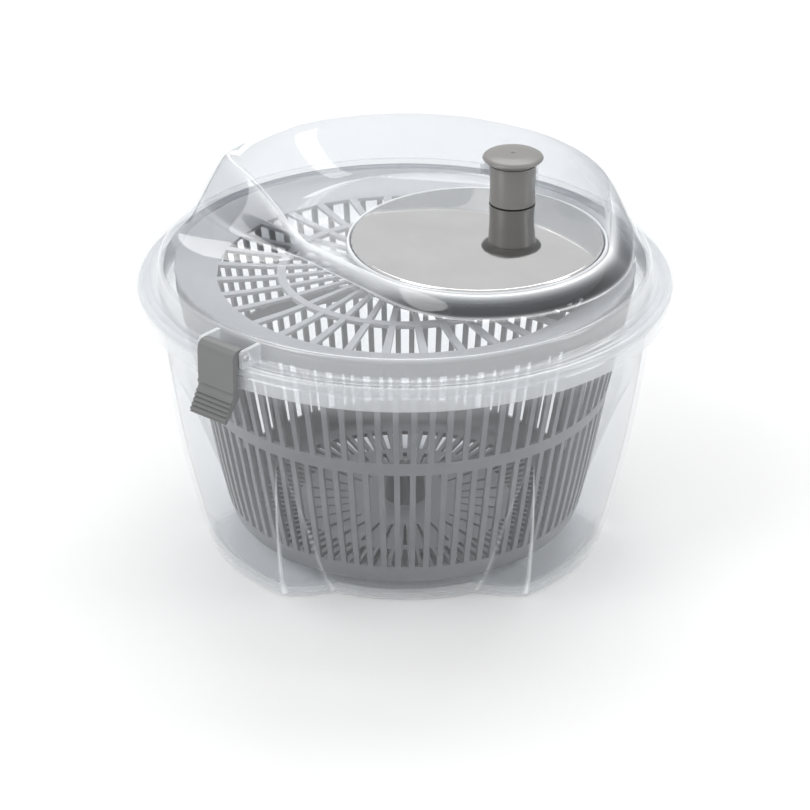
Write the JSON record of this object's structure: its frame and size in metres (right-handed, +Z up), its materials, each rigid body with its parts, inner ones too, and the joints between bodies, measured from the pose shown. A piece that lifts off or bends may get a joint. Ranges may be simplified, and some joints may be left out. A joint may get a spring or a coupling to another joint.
{
  "type": "salad spinner",
  "caption": "Hand-cranked salad spinner: clear bowl, slotted basket with a grille cover, clear domed lid with a recessed crank disc, and clip latches.",
  "frame": {"origin": "middle of the base, on the surface that the bowl stands on", "axes": "+Z up along the spin axis, +X to the side where the crank disc lies, +Y to the back where the lid's dome is"},
  "size_m": [0.281, 0.2824, 0.1944],
  "materials": {
    "clear_plastic": "clear gloss",
    "basket_grey": "satin",
    "cover_grey": "satin",
    "disc_grey": "high gloss",
    "knob_grey": "satin",
    "latch_grey": "satin",
    "box_grey": "satin",
    "nylon": "matte",
    "steel": "turned"
  },
  "bodies": {
    "bowl": {"outer_bowl": "clear_plastic", "bowl_pivot": "steel"},
    "bearing": {"basket_bearing": "nylon"},
    "basket": {"basket": "basket_grey"},
    "cover": {"basket_cover": "cover_grey"},
    "lid": {"lid_shell": "clear_plastic", "gear_box": "box_grey", "gear_cover_plate": "box_grey", "cover_screw_1": "steel", "cover_screw_2": "steel", "cover_screw_3": "steel", "cover_screw_4": "steel", "spindle_bushing": "nylon", "pinion_bushing": "nylon", "latch_pin_front": "steel", "latch_pin_back": "steel"},
    "crank": {"crank_disc": "disc_grey", "crank_spindle": "steel", "crank_gear": "nylon", "spindle_washer": "steel", "spindle_screw": "steel", "knob_axle": "steel"},
    "knob": {"knob_sleeve": "knob_grey", "knob_cap": "knob_grey"},
    "drive": {"drive_pinion": "nylon", "drive_dog": "box_grey", "drive_screw": "steel"},
    "latch_front": {"latch_front": "latch_grey"},
    "latch_back": {"latch_back": "latch_grey"}
  },
  "joints": [
    {"name": "lid_lift", "type": "slide", "parent": "bowl", "child": "lid", "axis": [0, 0, 1], "range_m": [0, 0.36]},
    {"name": "basket_lift", "type": "slide", "parent": "bowl", "child": "bearing", "axis": [0, 0, 1], "range_m": [0, 0.18]},
    {"name": "basket_spin", "type": "hinge", "parent": "bearing", "child": "basket", "pos_m": [0, 0, 0.1], "axis": [0, 0, 1], "continuous": true},
    {"name": "cover_lift", "type": "slide", "parent": "basket", "child": "cover", "axis": [0, 0, 1], "range_m": [0, 0.072]},
    {"name": "crank_spin", "type": "hinge", "parent": "lid", "child": "crank", "pos_m": [0.0375, 0, 0.16], "axis": [0, 0, 1], "continuous": true},
    {"name": "knob_spin", "type": "hinge", "parent": "crank", "child": "knob", "pos_m": [0.057, 0.0465, 0.18], "axis": [0, 0, 1], "continuous": true},
    {"name": "drive_spin", "type": "hinge", "parent": "lid", "child": "drive", "pos_m": [0, 0, 0.155], "axis": [0, 0, 1], "continuous": true},
    {"name": "latch_front_turn", "type": "hinge", "parent": "lid", "child": "latch_front", "pos_m": [-0.08871, -0.10571, 0.1525], "axis": [-0.766, 0.6428, 0], "range_deg": [0, 110]},
    {"name": "latch_back_turn", "type": "hinge", "parent": "lid", "child": "latch_back", "pos_m": [0.05941, 0.12456, 0.1525], "axis": [0.9026, -0.4305, 0], "range_deg": [0, 110]}
  ],
  "couplings": [
    {"joint": "drive_spin", "follows": "crank_spin", "ratio": -2.5714},
    {"joint": "basket_spin", "follows": "crank_spin", "ratio": -2.5714},
    {"joint": "basket_lift", "follows": "lid_lift", "ratio": 0.5},
    {"joint": "cover_lift", "follows": "lid_lift", "ratio": 0.2}
  ]
}
